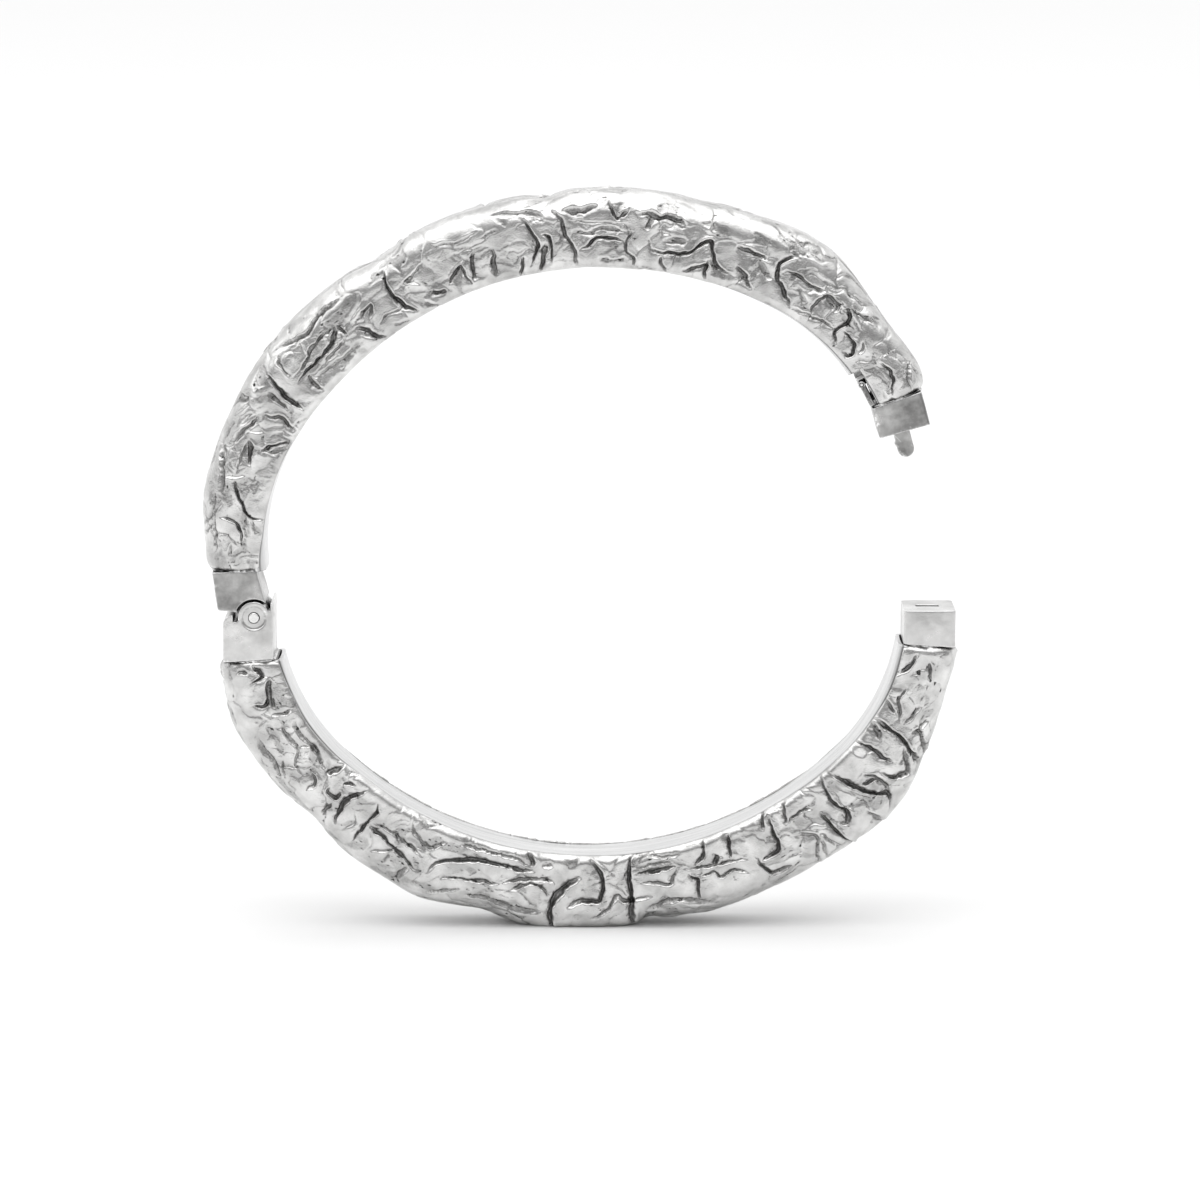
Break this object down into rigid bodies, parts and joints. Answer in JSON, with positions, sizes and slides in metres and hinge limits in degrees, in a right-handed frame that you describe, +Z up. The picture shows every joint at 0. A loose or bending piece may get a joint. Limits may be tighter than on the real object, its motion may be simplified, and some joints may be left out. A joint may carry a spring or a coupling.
{
  "type": "hinged bangle bracelet",
  "caption": "Oval hinged bangle of hollow, crumple-textured silver tube with a smooth lining, a pinned hinge and a tongue clasp with a small release lever, shown part open.",
  "frame": {"origin": "the middle of the small flat on the underside that the bangle stands on", "axes": "+Z up, +X from the hinge towards the clasp, +Y through the wrist opening, away from the front"},
  "size_m": [0.0718, 0.007, 0.0713],
  "materials": {
    "textured_silver": "cast silver, crumpled like foil, polished on the high places and darkened in the creases",
    "lining_silver": "smooth rolled silver with fine lengthwise polishing lines",
    "block_silver": "smooth filed and polished silver",
    "pin_silver": "bright peened wire",
    "latch_steel": "hard silver alloy, darker and slightly worn"
  },
  "bodies": {
    "lower_half": {"lower_shell": "textured_silver", "lower_lining": "lining_silver", "lower_hinge_block": "block_silver", "lower_clasp_block": "block_silver", "catch_plate": "latch_steel", "hinge_pin": "pin_silver"},
    "upper_half": {"upper_shell": "textured_silver", "upper_lining": "lining_silver", "upper_hinge_block": "block_silver", "upper_clasp_block": "block_silver", "lever_housing": "block_silver", "lever_pin": "pin_silver", "lever_springs": "latch_steel"},
    "latch": {"latch_lever": "latch_steel"}
  },
  "joints": [
    {"name": "bangle_hinge", "type": "hinge", "parent": "lower_half", "child": "upper_half", "pos_m": [-0.0319, 0, 0.0303], "axis": [0, -1, 0], "range_deg": [-15.5, 4.5]},
    {"name": "latch_pivot", "type": "hinge", "parent": "upper_half", "child": "latch", "pos_m": [0.02579, 0, 0.05263], "axis": [0, -1, 0], "range_deg": [0, 2.5], "stiffness_Nm_per_rad": 0.03, "springref_deg": -1.15}
  ]
}
